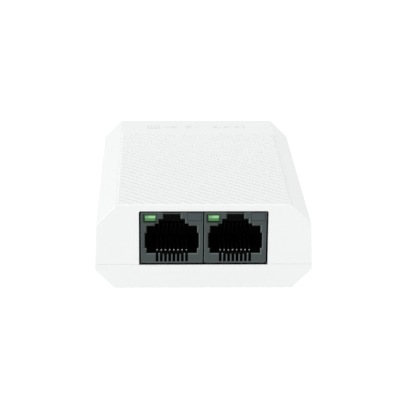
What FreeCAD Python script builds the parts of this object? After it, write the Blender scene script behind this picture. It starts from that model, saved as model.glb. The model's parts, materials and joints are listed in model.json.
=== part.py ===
"""Small two-port PoE injector: an eight-sided moulded case with two RJ45 jacks and a DC inlet.

Frame: X to the right, Y from the ports (front, -Y) to the DC inlet (back, +Y), Z up.
The origin is the centre of the footprint, on the surface that the rubber feet stand on.
All sizes are in millimetres.
"""
import FreeCAD, Part
import math
import os

V = FreeCAD.Vector
Y_AXIS = V(0, 1, 0)
Z_AXIS = V(0, 0, 1)

# How far a cut runs past the face that it opens, and how near counts as on a plane
OVERCUT = 1.0
NEAR = 0.01

# Case
CASE_WIDTH = 52.75
CASE_DEPTH = 75.0
CASE_TOP = 21.8
CASE_BOTTOM = 0.6
SIDE_DRAFT = 0.45
TOP_CHAMFER = 4.8
BOTTOM_CHAMFER = 4.8
EDGE_ROUND = 0.35
SIDE_WALL = 1.8
END_WALL = 2.0
ROOF = 1.3
FLOOR = 1.8
PARTING_Z = 6.9
PARTING_GAP = 0.02
SILL_TOP = 6.72
SILL_THICKNESS = 0.2
SILL_STEP_TOP = 6.3
TONGUE_HEIGHT = 1.2
TONGUE_THICKNESS = 0.8
TONGUE_CLEARANCE = 0.1
FRONT = -CASE_DEPTH / 2
BACK = CASE_DEPTH / 2

# Raised pad on the roof, flush with the front wall, with slanting grooves
PAD_HALF_WIDTH = 20.8
PAD_BACK = FRONT + 60.3
PAD_HEIGHT = 0.3
PAD_DRAFT = 0.2
PAD_FRONT_ROUND = 0.4
GROOVE_FRONT = FRONT + 0.6
GROOVE_ANGLE = 43.4
GROOVE_PITCH = 1.97
GROOVE_WIDTH = 0.6
GROOVE_FLOOR_WIDTH = 0.38
GROOVE_DEPTH = 0.3

# Printed pictograms behind the pad
MARK_Y = 30.5
MARK_THICKNESS = 0.04
MARK_STROKE = 0.42

# Circuit board
BOARD_TOP = 7.2
BOARD_THICKNESS = 1.6
BOARD_HALF_WIDTH = 22.9
BOARD_FRONT = FRONT + 5.0
BOARD_END_GAP = 0.3
BOARD_CORNER = 1.0
LEAD_GAP = 0.15
POST_GAP = 0.05
BOARD_RIB_X = 19.6
BOARD_RIB_HALF = 0.7
BOARD_RIB_START = 1.0
BOARD_RIB_END = -18.0
PIN_LENGTH_BELOW_TOP = 3.0

# Components on the board
CAPACITOR_PLACES = ((-11.5, 29.0), (11.5, 29.0))
CAPACITOR_RADIUS = 4.0
CAPACITOR_HEIGHT = 11.0
CAPACITOR_ROUND = 0.5
CAPACITOR_STAND_OFF = 0.4
CAPACITOR_LEAD_OFFSET = 1.75
CAPACITOR_LEAD_RADIUS = 0.3
CAPACITOR_LEAD_LENGTH = 2.6
SLEEVE_THICKNESS = 0.14
SLEEVE_INSET = 0.6
# Each body: half width, half length, lowest and highest over the board, chamfer of its upper edges
TRANSFORMER_PLACE = (0.0, -6.5)
TRANSFORMER_BODY = (7.0, 8.0, 0.4, 6.0, 0.5)
CONTROLLER_PLACE = (-7.5, 8.0)
CONTROLLER_BODY = (2.0, 2.5, 0.2, 1.6, 0.2)
INDUCTOR_PLACE = (6.0, 8.0)
INDUCTOR_BODY = (5.0, 5.0, 0.3, 5.0, 0.6)
FUSE_PLACE = (5.5, 18.0)
FUSE_BODY = (3.0, 1.3, 0.0, 2.4, 0.2)
SURGE_DIODE_PLACES = ((-4.5, 20.5), (11.6, -10.0))
SURGE_DIODE_BODY = (2.2, 1.8, 0.0, 2.2, 0.2)
# Each row of bent leads: count, pitch, width, height where it leaves the body
TRANSFORMER_WINGS = (12, 1.27, 0.5, 1.2)
CONTROLLER_WINGS = (4, 1.27, 0.4, 0.8)
WING_THICKNESS = 0.2
WING_KNEE = 0.5
WING_TOE = 1.5
INDUCTOR_WINDOW_RADIUS = 3.9
INDUCTOR_WINDOW_DEPTH = 0.7
TERMINAL_HALF_X = 1.0
TERMINAL_HALF_Y = 1.2
# Each group of chips: X and Y of the first, columns, rows
CHIP_GROUPS = ((-16.5, 15.5, 5, 2), (14.2, 1.5, 1, 6), (-14.8, -1.0, 1, 5))
CHIP_PITCH_X = 2.6
CHIP_PITCH_Y = 2.1
CHIP_HALF_X = 0.8
CHIP_HALF_Y = 0.4
CHIP_HEIGHT = 0.5
CHIP_SCREW_DISTANCE = 4.4

# Front port opening
PORT_CENTRE_X = -0.05
PORT_HALF_WIDTH = 15.52
PORT_TOP = 20.4
PORT_CORNER = 0.45
PORT_PITCH = 15.24

# RJ45 jacks: X from the jack's centre, depth from its face, height from the board's top
JACK_FACE = FRONT + 0.4
JACK_WIDTH = 14.92
JACK_HEIGHT = 12.7
JACK_DEPTH = 21.0
JACK_SKIRT_DEPTH = 1.6
JACK_SKIRT_DROP = 0.15
JACK_EDGE_ROUND = 0.2
CAVITY_DEPTH = 13.0
CAVITY_HALF_WIDTH = 6.08
CAVITY_TOP = 9.3
MOUTH_BEVEL = 0.22
CONTACT_COUNT = 8
CONTACT_PITCH = 1.016
CONTACT_RADIUS = 0.23
CONTACT_SLOT = 0.66
SLOT_FLOOR = 0.22
CAVITY_FLOOR = 2.3
# Each step of the plug cavity: half width, lowest height, highest height, depth
CAVITY_STEPS = (
    (CAVITY_HALF_WIDTH, CAVITY_FLOOR, CAVITY_TOP, CAVITY_DEPTH),
    (6.5, 3.6, 7.5, CAVITY_DEPTH),
    (4.12, CAVITY_TOP - OVERCUT, 9.88, CAVITY_DEPTH),
    (3.2, CAVITY_TOP - OVERCUT, 11.05, CAVITY_DEPTH),
    (2.1, CAVITY_TOP - OVERCUT, 12.3, 2.0),
)
# Other hollows of a jack, each an X range, a depth range and a height range: the wider pocket behind
# the latch slot, the window that the contact arms pass through, and the pocket for the insert
LATCH_POCKET = (-3.2, 3.2, 1.5, 8.0, CAVITY_TOP - OVERCUT, 12.2)
CONTACT_WINDOW = (-4.7, 4.7, CAVITY_DEPTH - OVERCUT, 15.0, CAVITY_FLOOR, 5.95)
INSERT_POCKET = (-6.3, 6.3, 14.2, JACK_DEPTH + OVERCUT, -OVERCUT, 10.0)
# The insert's block and its comb, measured the same way
INSERT_BLOCK = (-6.1, 6.1, 14.4, 20.8, 1.3, 9.8)
INSERT_COMB = (-4.6, 4.6, 12.4, 14.5, 2.9, 5.75)
BEND_DEPTH = 2.4
BEND_HEIGHT = 1.72
BEND_RADIUS = 0.84
ARM_RISE = 14.0
ARM_END_DEPTH = 13.6
ARM_GAP_DEGREES = 3
TAIL_ROWS = (15.4, 17.94)
TAIL_CORNER = 0.6
COMB_SLOT = 0.6
POST_OFFSET = 5.715
POST_DEPTH = 10.0
POST_RADIUS = 1.6
POST_LENGTH = 3.1
LED_LEFT = -6.78
LED_RIGHT = -3.66
LED_BOTTOM = 10.3
LED_TOP = 12.2
LED_GAP = 0.2
LED_SET_BACK = 0.12
LED_ROUND = 0.3
LED_LENGTH = 6.0
LED_LEAD_RADIUS = 0.25
LED_LEAD_OFFSETS = (-5.85, -4.55)
LED_LEAD_CORNER = 0.5
LED_LEAD_BEHIND = 0.7
PLUG_LEFT = 3.75
PLUG_RIGHT = 7.16
PLUG_BOTTOM = 10.6
PLUG_DEPTH = 3.0
PLUG_GAP = 0.03
PLUG_ROUND = 0.12

# DC inlet, 5.5 x 2.1 mm barrel type
DC_WIDTH = 9.0
DC_HEIGHT = 11.0
DC_DEPTH = 14.0
DC_FACE = BACK - 0.3
DC_OPENING_GAP = 0.3
DC_COLLAR = 3.5
DC_AXIS_Z = BOARD_TOP + 6.5
DC_BORE_RADIUS = 3.2
DC_BORE_DEPTH = 9.8
DC_PIN_RADIUS = 1.05
DC_PIN_TIP = 0.9
DC_PIN_SHANK = 0.6
DC_PIN_SHOULDER = 0.5
DC_PIN_ROUND = 0.6
DC_PIN_HOLE_GAP = 0.02
DC_EDGE_ROUND = 0.3
DC_MOUTH = 0.5
DC_BARREL_INSET = 0.05
DC_LUG_HALF = 1.4
DC_LUG_THICKNESS = 0.4
DC_LUG_ABOVE_AXIS = 1.6
DC_FOOT_HALF = 1.0
DC_LEAF_WIDTH = 2.2
DC_LEAF_THICKNESS = 0.3
DC_LEAF_SIDE_GAP = 0.2
DC_LEAF_ROOT = 0.35
DC_LEAF_CREST = 5.6
DC_LEAF_CREST_DROP = 2.45
DC_LEAF_END = 3.7
DC_LEAF_END_DROP = 3.3
DC_SLOT_BEHIND = 1.6
DC_SLOT_AHEAD = 0.5
DC_SLOT_DROP = 2.0
DC_HINGE_Y = DC_FACE - 11.4
DC_HINGE_Z = BOARD_TOP + 2.1
DC_TERMINAL_GAP = 0.1

# Case screws and feet
SCREW_X = 17.6
SCREW_ROWS = (-11.0, 19.0)
SCREW_RADIUS = 1.1
SCREW_HEAD_RADIUS = 2.1
SCREW_HEAD_HEIGHT = 1.4
SCREW_HEAD_ROUND = 0.5
SCREW_TIP_RADIUS = 0.3
SCREW_TIP_LENGTH = 1.2
SCREW_TIP_ROOM = 1.5
SCREW_SEAT = 3.2
SCREW_LENGTH = 9.0
SCREW_CLEARANCE = 0.05
SCREW_HOLE_CLEARANCE = 0.15
SCREW_RECESS_RADIUS = 2.5
SCREW_CROSS_REACH = 1.3
SCREW_CROSS_HALF = 0.3
SCREW_CROSS_DEPTH = 0.8
BOSS_RADIUS = 2.6
PILLAR_RADIUS = 3.4
FOOT_X = 16.5
FOOT_Y = 30.5
FOOT_RADIUS = 3.6
FOOT_SUNK = 0.5
FOOT_ROUND = 0.4
FOOT_CLEARANCE = 0.15

# Blank label underneath
LABEL_HALF_X = 15.0
LABEL_Y = (-4.0, 26.0)
LABEL_RECESS = 0.15
LABEL_THICKNESS = 0.1
LABEL_CLEARANCE = 0.2
LABEL_CORNER = 1.5


def block(x0, x1, y0, y1, z0, z1):
    """A box between two corners."""
    return Part.makeBox(x1 - x0, y1 - y0, z1 - z0, V(x0, y0, z0))


def cylinder(radius, start, end):
    """A cylinder between two points."""
    along = end.sub(start)
    return Part.makeCylinder(radius, along.Length, start, along)


def upright(radius, x, y, z0, z1):
    """A vertical cylinder."""
    return cylinder(radius, V(x, y, z0), V(x, y, z1))


def prism(points, along):
    """A polygon swept along a vector."""
    corners = [V(*point) for point in points]
    return Part.Face(Part.makePolygon(corners + corners[:1])).extrude(along)


def wire_rod(edges, radius):
    """A round wire that follows a chain of tangent edges."""
    path = Part.Wire(edges)
    first = edges[0]
    start = first.valueAt(first.FirstParameter)
    heading = first.tangentAt(first.FirstParameter)
    profile = Part.Wire(Part.Circle(start, heading, radius).toShape())
    return path.makePipeShell([profile], True, False)


def run(start, end):
    """A straight edge."""
    return Part.LineSegment(start, end).toShape()


def bend(x, y, z, radius, start_degrees, end_degrees):
    """An arc in a plane of constant x: 0 degrees points along +Y and 90 along +Z."""
    points = []
    for share in (0.0, 0.5, 1.0):
        angle = math.radians(start_degrees + share * (end_degrees - start_degrees))
        points.append(V(x, y + radius * math.cos(angle), z + radius * math.sin(angle)))
    return Part.Arc(*points).toShape()


def save(node, solids):
    """Write one named node, a single solid or a group of separate ones."""
    shape = Part.makeCompound(solids) if isinstance(solids, list) else solids
    shape.exportStep("parts/" + node + ".step")


# ---- case -------------------------------------------------------------------------------------

def octagon_prism(half_width, bottom, top, low_chamfer, high_chamfer, y0, y1):
    """The case's eight-sided section, a little narrower at the shoulders, swept from y0 to y1."""
    shoulder = half_width - SIDE_DRAFT
    section = [
        (-half_width + low_chamfer, y0, bottom),
        (half_width - low_chamfer, y0, bottom),
        (half_width, y0, bottom + low_chamfer),
        (shoulder, y0, top - high_chamfer),
        (shoulder - high_chamfer, y0, top),
        (-shoulder + high_chamfer, y0, top),
        (-shoulder, y0, top - high_chamfer),
        (-half_width, y0, bottom + low_chamfer),
    ]
    return prism(section, V(0, y1 - y0, 0))


def case_outside():
    """The outer form, with every edge slightly rounded."""
    body = octagon_prism(CASE_WIDTH / 2, CASE_BOTTOM, CASE_TOP, BOTTOM_CHAMFER, TOP_CHAMFER, FRONT, BACK)
    return body.makeFillet(EDGE_ROUND, body.Edges)


def case_inside():
    """The hollow, with a sloping wall as thick as the upright one."""
    slope_inset = SIDE_WALL * math.sqrt(2)
    low_chamfer = BOTTOM_CHAMFER + slope_inset - SIDE_WALL - FLOOR
    high_chamfer = TOP_CHAMFER + slope_inset - SIDE_WALL - ROOF
    return octagon_prism(CASE_WIDTH / 2 - SIDE_WALL, CASE_BOTTOM + FLOOR, CASE_TOP - ROOF,
                         low_chamfer, high_chamfer, FRONT + END_WALL, BACK - END_WALL)


def above(z):
    """Everything over a height, to keep one half of the case."""
    return block(-CASE_WIDTH, CASE_WIDTH, -CASE_DEPTH, CASE_DEPTH, z, CASE_TOP * 2)


def below(z):
    """Everything under a height."""
    return block(-CASE_WIDTH, CASE_WIDTH, -CASE_DEPTH, CASE_DEPTH, -CASE_TOP, z)


def tongue_block(clearance, top):
    """The outside of the tongue, from the inner wall outwards."""
    half_x = CASE_WIDTH / 2 - SIDE_WALL + TONGUE_THICKNESS + clearance
    half_y = CASE_DEPTH / 2 - END_WALL + TONGUE_THICKNESS + clearance
    return block(-half_x, half_x, -half_y, half_y, PARTING_Z - PARTING_GAP, top)


def port_cut(extra):
    """The opening for both jacks, through the front wall, with rounded upper corners."""
    reach = END_WALL + TONGUE_CLEARANCE
    opening = block(PORT_CENTRE_X - PORT_HALF_WIDTH - extra, PORT_CENTRE_X + PORT_HALF_WIDTH + extra,
                    FRONT - reach, FRONT + reach, PARTING_Z - OVERCUT, PORT_TOP)
    corners = [edge for edge in opening.Edges
               if abs(edge.tangentAt(edge.FirstParameter).y) > 0.9 and edge.CenterOfMass.z > PARTING_Z]
    return opening.makeFillet(PORT_CORNER, corners).common(above(PARTING_Z))


def inlet_cut(extra):
    """The opening for the DC inlet, through the back wall."""
    half = DC_WIDTH / 2 + DC_OPENING_GAP + extra
    reach = END_WALL + TONGUE_CLEARANCE
    return block(-half, half, BACK - reach, BACK + reach, PARTING_Z, BOARD_TOP + DC_HEIGHT + DC_OPENING_GAP)


def screw_places():
    """Axes of the four case screws."""
    return [(side * SCREW_X, y) for side in (-1, 1) for y in SCREW_ROWS]


def foot_places():
    """Centres of the four feet."""
    return [(side * FOOT_X, end * FOOT_Y) for side in (-1, 1) for end in (-1, 1)]


def roof_pad():
    """The low pad on the roof, rounded at the front and drafted on its other sides."""
    pad_top = CASE_TOP + PAD_HEIGHT
    pad = block(-PAD_HALF_WIDTH, PAD_HALF_WIDTH, FRONT, PAD_BACK, CASE_TOP - ROOF / 2, pad_top)
    rim = [edge for edge in pad.Edges if edge.CenterOfMass.z > pad_top - NEAR and edge.CenterOfMass.y > FRONT]
    pad = pad.makeChamfer(PAD_DRAFT, rim)
    front_edge = [edge for edge in pad.Edges
                  if edge.CenterOfMass.z > pad_top - NEAR and edge.CenterOfMass.y < FRONT + NEAR]
    return pad.makeFillet(PAD_FRONT_ROUND, front_edge)


def pad_grooves():
    """Slanting narrow grooves that run out through the pad's sides and back."""
    pad_top = CASE_TOP + PAD_HEIGHT
    limits = block(-PAD_HALF_WIDTH, PAD_HALF_WIDTH, GROOVE_FRONT, PAD_BACK, pad_top - GROOVE_DEPTH,
                   pad_top + OVERCUT)
    angle = math.radians(GROOVE_ANGLE)
    along = V(math.cos(angle), -math.sin(angle), 0)
    across = V(math.sin(angle), math.cos(angle), 0)
    half_length = (PAD_BACK - GROOVE_FRONT) / 2
    centre = V(0, GROOVE_FRONT + half_length, 0)
    reach = math.hypot(PAD_HALF_WIDTH, half_length)
    count = int((PAD_HALF_WIDTH * across.x + half_length * across.y) / GROOVE_PITCH)
    grooves = []
    for index in range(-count, count + 1):
        middle = centre + across * (index * GROOVE_PITCH) - along * reach
        section = []
        for half_width, z in ((-GROOVE_WIDTH / 2, pad_top), (GROOVE_WIDTH / 2, pad_top),
                              (GROOVE_FLOOR_WIDTH / 2, pad_top - GROOVE_DEPTH),
                              (-GROOVE_FLOOR_WIDTH / 2, pad_top - GROOVE_DEPTH)):
            corner = middle + across * half_width
            section.append((corner.x, corner.y, z))
        grooves.append(prism(section, along * (2 * reach)).common(limits))
    return grooves


def mark_prisms(z0, z1):
    """Generic pictograms: a socket, an arrow, a bolt, and three joined dots with a bar."""
    stroke = MARK_STROKE
    height = V(0, 0, z1 - z0)

    def plate(x0, x1, y0, y1):
        return block(x0, x1, MARK_Y + y0, MARK_Y + y1, z0, z1)

    def polygon(points):
        return prism([(x, MARK_Y + y, z0) for x, y in points], height)

    def frame(x0, x1, y0, y1):
        return plate(x0, x1, y0, y1).cut(plate(x0 + stroke, x1 - stroke, y0 + stroke, y1 - stroke))

    socket = frame(-13.9, -10.3, -1.5, 1.5)
    pins = [plate(-12.9 + 0.7 * i, -12.9 + 0.7 * i + 0.3, -0.8, 0.2) for i in range(3)]
    shaft = plate(-9.2, -6.9, -0.2, 0.2)
    arrow_head = polygon([(-6.9, -1.0), (-5.4, 0.0), (-6.9, 1.0)])
    bolt = polygon([(-2.2, 1.7), (-3.6, -0.3), (-2.4, -0.3), (-2.9, -1.7), (-1.2, 0.5), (-2.3, 0.5)])
    short_bar = plate(-0.4, 0.6, -0.2, 0.2)
    dots = [upright(0.7, x, MARK_Y, z0, z1) for x in (5.2, 8.2, 11.2)]
    links = [plate(x + 0.9, x + 2.1, -0.15, 0.15) for x in (5.2, 8.2)]
    end_bar = plate(13.0, 13.4, -1.4, 1.4)
    return [socket] + pins + [shaft, arrow_head, bolt, short_bar] + dots + links + [end_bar]


def upper_shell():
    """The top half: roof, walls above the parting line, both openings and the screw bosses."""
    shell = case_outside().common(above(PARTING_Z)).cut(case_inside())
    bosses = []
    bores = []
    screw_end = SCREW_SEAT + SCREW_LENGTH
    for x, y in screw_places():
        column = upright(BOSS_RADIUS, x, y, BOARD_TOP, CASE_TOP)
        bosses.append(column.common(case_inside()))
        bores.append(upright(SCREW_RADIUS + SCREW_CLEARANCE, x, y, BOARD_TOP, screw_end + SCREW_TIP_ROOM))
    shell = shell.fuse(bosses + [roof_pad()])
    seam_limit = PARTING_Z + TONGUE_HEIGHT + TONGUE_CLEARANCE
    seam = tongue_block(TONGUE_CLEARANCE, seam_limit).cut(case_inside())
    seam = seam.cut(below(PARTING_Z - PARTING_GAP))
    shell = shell.cut([seam, port_cut(0), inlet_cut(0)] + bores)
    return shell.cut(pad_grooves()).removeSplitter()


def sill_cuts():
    """Lowers the wall under the ports to a thin sill, with a deeper step behind it."""
    x0 = PORT_CENTRE_X - PORT_HALF_WIDTH
    x1 = PORT_CENTRE_X + PORT_HALF_WIDTH
    back = FRONT + END_WALL + OVERCUT
    top = PARTING_Z + OVERCUT
    return [block(x0, x1, FRONT - OVERCUT, back, SILL_TOP, top),
            block(x0, x1, FRONT + SILL_THICKNESS, back, SILL_STEP_TOP, top)]


def lower_shell():
    """The bottom half: floor, low walls with a tongue, bosses, board ribs and recesses."""
    shell = case_outside().common(below(PARTING_Z - PARTING_GAP)).cut(case_inside())
    tongue = tongue_block(0, PARTING_Z + TONGUE_HEIGHT).cut(case_inside())
    tongue = tongue.cut([port_cut(2 * TONGUE_CLEARANCE), inlet_cut(2 * TONGUE_CLEARANCE)])
    board_bottom = BOARD_TOP - BOARD_THICKNESS
    floor_middle = CASE_BOTTOM + FLOOR / 2
    additions = [tongue]
    for side in (-1, 1):
        x = side * BOARD_RIB_X
        additions.append(block(x - BOARD_RIB_HALF, x + BOARD_RIB_HALF, FRONT + END_WALL + BOARD_RIB_START,
                               BOARD_RIB_END, floor_middle, board_bottom))
    cuts = sill_cuts()
    for x, y in screw_places():
        additions.append(upright(PILLAR_RADIUS, x, y, floor_middle, board_bottom))
        cuts.append(upright(SCREW_RECESS_RADIUS, x, y, 0, SCREW_SEAT))
        cuts.append(upright(SCREW_RADIUS + SCREW_HOLE_CLEARANCE, x, y, 0, board_bottom + OVERCUT))
    for x, y in foot_places():
        cuts.append(upright(FOOT_RADIUS + FOOT_CLEARANCE, x, y, 0, CASE_BOTTOM + FOOT_SUNK))
    cuts.append(block(-LABEL_HALF_X - LABEL_CLEARANCE, LABEL_HALF_X + LABEL_CLEARANCE,
                      LABEL_Y[0] - LABEL_CLEARANCE, LABEL_Y[1] + LABEL_CLEARANCE,
                      0, CASE_BOTTOM + LABEL_RECESS))
    return shell.fuse(additions).common(case_outside()).cut(cuts).removeSplitter()


def case_screws():
    """Four pan-head screws with a cross recess, driven up from below."""
    screws = []
    for x, y in screw_places():
        head_bottom = SCREW_SEAT - SCREW_HEAD_HEIGHT
        head = upright(SCREW_HEAD_RADIUS, x, y, head_bottom, SCREW_SEAT)
        rim = [edge for edge in head.Edges if abs(edge.CenterOfMass.z - head_bottom) < NEAR]
        head = head.makeFillet(SCREW_HEAD_ROUND, rim)
        shank = upright(SCREW_RADIUS, x, y, SCREW_SEAT - SCREW_HEAD_ROUND, SCREW_SEAT + SCREW_LENGTH)
        tip = Part.makeCone(SCREW_RADIUS, SCREW_TIP_RADIUS, SCREW_TIP_LENGTH,
                            V(x, y, SCREW_SEAT + SCREW_LENGTH), Z_AXIS)
        cross = [block(x - half_x, x + half_x, y - half_y, y + half_y, 0, head_bottom + SCREW_CROSS_DEPTH)
                 for half_x, half_y in ((SCREW_CROSS_REACH, SCREW_CROSS_HALF),
                                        (SCREW_CROSS_HALF, SCREW_CROSS_REACH))]
        screws.append(head.fuse([shank, tip]).cut(cross).removeSplitter())
    return screws


def rubber_feet():
    """Four round feet, sunk into the floor and softly rounded below."""
    feet = []
    for x, y in foot_places():
        foot = upright(FOOT_RADIUS, x, y, 0, CASE_BOTTOM + FOOT_SUNK)
        rim = [edge for edge in foot.Edges if abs(edge.CenterOfMass.z) < NEAR]
        feet.append(foot.makeFillet(FOOT_ROUND, rim))
    return feet


def rating_label():
    """A blank foil label in its recess."""
    top = CASE_BOTTOM + LABEL_RECESS
    label = block(-LABEL_HALF_X, LABEL_HALF_X, LABEL_Y[0], LABEL_Y[1], top - LABEL_THICKNESS, top)
    corners = [edge for edge in label.Edges if abs(edge.tangentAt(edge.FirstParameter).z) > 0.9]
    return label.makeFillet(LABEL_CORNER, corners)


# ---- RJ45 jacks -------------------------------------------------------------------------------

def jack_block(centre_x, x0, x1, depth0, depth1, height0, height1):
    """A box in a jack's own measures: from its centre, behind its face, over the board."""
    return block(centre_x + x0, centre_x + x1, JACK_FACE + depth0, JACK_FACE + depth1,
                 BOARD_TOP + height0, BOARD_TOP + height1)


def jack_centres():
    """X of the middle of each jack."""
    return {"left": PORT_CENTRE_X - PORT_PITCH / 2, "right": PORT_CENTRE_X + PORT_PITCH / 2}


def contact_places(centre_x):
    """X of each of the eight contacts."""
    middle = (CONTACT_COUNT - 1) / 2
    return [centre_x + (index - middle) * CONTACT_PITCH for index in range(CONTACT_COUNT)]


def flared_cut(centre_x, half_width, height0, height1, depth):
    """A rectangular cut from the jack's face, with a lead-in bevel round its mouth."""
    cut = jack_block(centre_x, -half_width, half_width, -OVERCUT, depth, height0, height1)
    bevel = jack_block(centre_x, -half_width - MOUTH_BEVEL, half_width + MOUTH_BEVEL, -OVERCUT, MOUTH_BEVEL,
                       height0 - MOUTH_BEVEL, height1 + MOUTH_BEVEL)
    rim = [edge for edge in bevel.Edges if edge.CenterOfMass.y > JACK_FACE + MOUTH_BEVEL - NEAR]
    return cut.fuse(bevel.makeChamfer(MOUTH_BEVEL - NEAR / 2, rim))


def jack_housing(centre_x):
    """The moulded body, with its plug cavity, latch slot, contact slots and light channel."""
    half = JACK_WIDTH / 2
    body = jack_block(centre_x, -half, half, 0, JACK_DEPTH, 0, JACK_HEIGHT)
    skirt = jack_block(centre_x, -half, half, 0, JACK_SKIRT_DEPTH, -JACK_SKIRT_DROP, JACK_SKIRT_DROP)
    body = body.fuse(skirt).removeSplitter()
    rim = [edge for edge in body.Edges if abs(edge.CenterOfMass.y - JACK_FACE) < NEAR]
    body = body.makeFillet(JACK_EDGE_ROUND, rim)
    for side in (-1, 1):
        post = upright(POST_RADIUS, centre_x + side * POST_OFFSET, JACK_FACE + POST_DEPTH,
                       BOARD_TOP - POST_LENGTH, BOARD_TOP + SLOT_FLOOR)
        body = body.fuse(post)
    steps = [flared_cut(centre_x, *step) for step in CAVITY_STEPS]
    latch_pocket = jack_block(centre_x, *LATCH_POCKET)
    window = jack_block(centre_x, *CONTACT_WINDOW)
    back_pocket = jack_block(centre_x, *INSERT_POCKET)
    light_channel = jack_block(centre_x, LED_LEFT, LED_RIGHT, -OVERCUT, JACK_DEPTH + OVERCUT,
                               LED_BOTTOM, LED_TOP)
    plug_bay = jack_block(centre_x, PLUG_LEFT, PLUG_RIGHT, -OVERCUT, PLUG_DEPTH,
                          PLUG_BOTTOM, JACK_HEIGHT + OVERCUT)
    slots = [jack_block(x, -CONTACT_SLOT / 2, CONTACT_SLOT / 2, -OVERCUT, CONTACT_WINDOW[3],
                        SLOT_FLOOR, CAVITY_FLOOR + NEAR)
             for x in contact_places(centre_x)]
    cuts = steps + slots + [latch_pocket, window, back_pocket, light_channel, plug_bay]
    return body.cut(cuts).removeSplitter()


def blank_plug(centre_x):
    """The filler in the second indicator bay, flush with the jack's face and top."""
    plug = jack_block(centre_x, PLUG_LEFT + PLUG_GAP, PLUG_RIGHT - PLUG_GAP, PLUG_GAP, PLUG_DEPTH - PLUG_GAP,
                      PLUG_BOTTOM + PLUG_GAP, JACK_HEIGHT - PLUG_GAP)
    rim = [edge for edge in plug.Edges if edge.CenterOfMass.y < JACK_FACE + PLUG_GAP + NEAR]
    return plug.makeFillet(PLUG_ROUND, rim)


def jack_insert(centre_x):
    """The block that closes a jack from behind and combs the free ends of its contacts."""
    comb = jack_block(centre_x, *INSERT_COMB)
    slots = [jack_block(x, -COMB_SLOT / 2, COMB_SLOT / 2, INSERT_COMB[2] - OVERCUT, INSERT_BLOCK[2],
                        INSERT_COMB[4] - OVERCUT, INSERT_COMB[5] + OVERCUT)
             for x in contact_places(centre_x)]
    return jack_block(centre_x, *INSERT_BLOCK).fuse(comb.cut(slots)).removeSplitter()


def contact_tails(centre_x):
    """The fixed part of each contact: board pin, run under the floor, and lower half of the bend."""
    tails = []
    corner = TAIL_CORNER
    y_bend = JACK_FACE + BEND_DEPTH
    z_bend = BOARD_TOP + BEND_HEIGHT
    z_low = z_bend - BEND_RADIUS
    for index, x in enumerate(contact_places(centre_x)):
        y_pin = JACK_FACE + TAIL_ROWS[index % 2]
        edges = [
            run(V(x, y_pin, BOARD_TOP - PIN_LENGTH_BELOW_TOP), V(x, y_pin, z_low - corner)),
            bend(x, y_pin - corner, z_low - corner, corner, 0, 90),
            run(V(x, y_pin - corner, z_low), V(x, y_bend, z_low)),
            bend(x, y_bend, z_bend, BEND_RADIUS, 270, 180 + ARM_GAP_DEGREES),
        ]
        tails.append(wire_rod(edges, CONTACT_RADIUS))
    return tails


def contact_arms(centre_x):
    """The springing part of each contact: upper half of the bend and the rising arm."""
    arms = []
    y_bend = JACK_FACE + BEND_DEPTH
    z_bend = BOARD_TOP + BEND_HEIGHT
    leave = 90 + ARM_RISE
    slope = math.tan(math.radians(ARM_RISE))
    y_start = y_bend + BEND_RADIUS * math.cos(math.radians(leave))
    z_start = z_bend + BEND_RADIUS * math.sin(math.radians(leave))
    y_end = JACK_FACE + ARM_END_DEPTH
    z_end = z_start + (y_end - y_start) * slope
    for x in contact_places(centre_x):
        edges = [
            bend(x, y_bend, z_bend, BEND_RADIUS, 180, leave),
            run(V(x, y_start, z_start), V(x, y_end, z_end)),
        ]
        arms.append(wire_rod(edges, CONTACT_RADIUS))
    return arms


def led_lens(centre_x):
    """A rectangular indicator body with a rounded front."""
    body = jack_block(centre_x, LED_LEFT + LED_GAP, LED_RIGHT - LED_GAP, LED_SET_BACK, LED_LENGTH,
                      LED_BOTTOM + LED_GAP, LED_TOP - LED_GAP)
    rim = [edge for edge in body.Edges if edge.CenterOfMass.y < JACK_FACE + LED_SET_BACK + NEAR]
    return body.makeFillet(LED_ROUND, rim)


def led_leads(centre_x):
    """Two leads that run back along the channel and down through the board."""
    leads = []
    corner = LED_LEAD_CORNER
    z_lead = BOARD_TOP + (LED_BOTTOM + LED_TOP) / 2
    y_down = JACK_FACE + JACK_DEPTH + LED_LEAD_BEHIND
    for offset in LED_LEAD_OFFSETS:
        x = centre_x + offset
        edges = [
            run(V(x, JACK_FACE + LED_LENGTH, z_lead), V(x, y_down - corner, z_lead)),
            bend(x, y_down - corner, z_lead - corner, corner, 90, 0),
            run(V(x, y_down, z_lead - corner), V(x, y_down, BOARD_TOP - PIN_LENGTH_BELOW_TOP)),
        ]
        leads.append(wire_rod(edges, LED_LEAD_RADIUS))
    return leads


# ---- DC inlet ---------------------------------------------------------------------------------

def leaf_slot():
    """The gap under the bore that the springing leaf moves in, open towards the board."""
    half = DC_LEAF_WIDTH / 2 + DC_LEAF_SIDE_GAP
    return block(-half, half, DC_HINGE_Y - DC_SLOT_BEHIND, DC_FACE - DC_LEAF_END + DC_SLOT_AHEAD,
                 BOARD_TOP - OVERCUT, DC_AXIS_Z - DC_SLOT_DROP)


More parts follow.
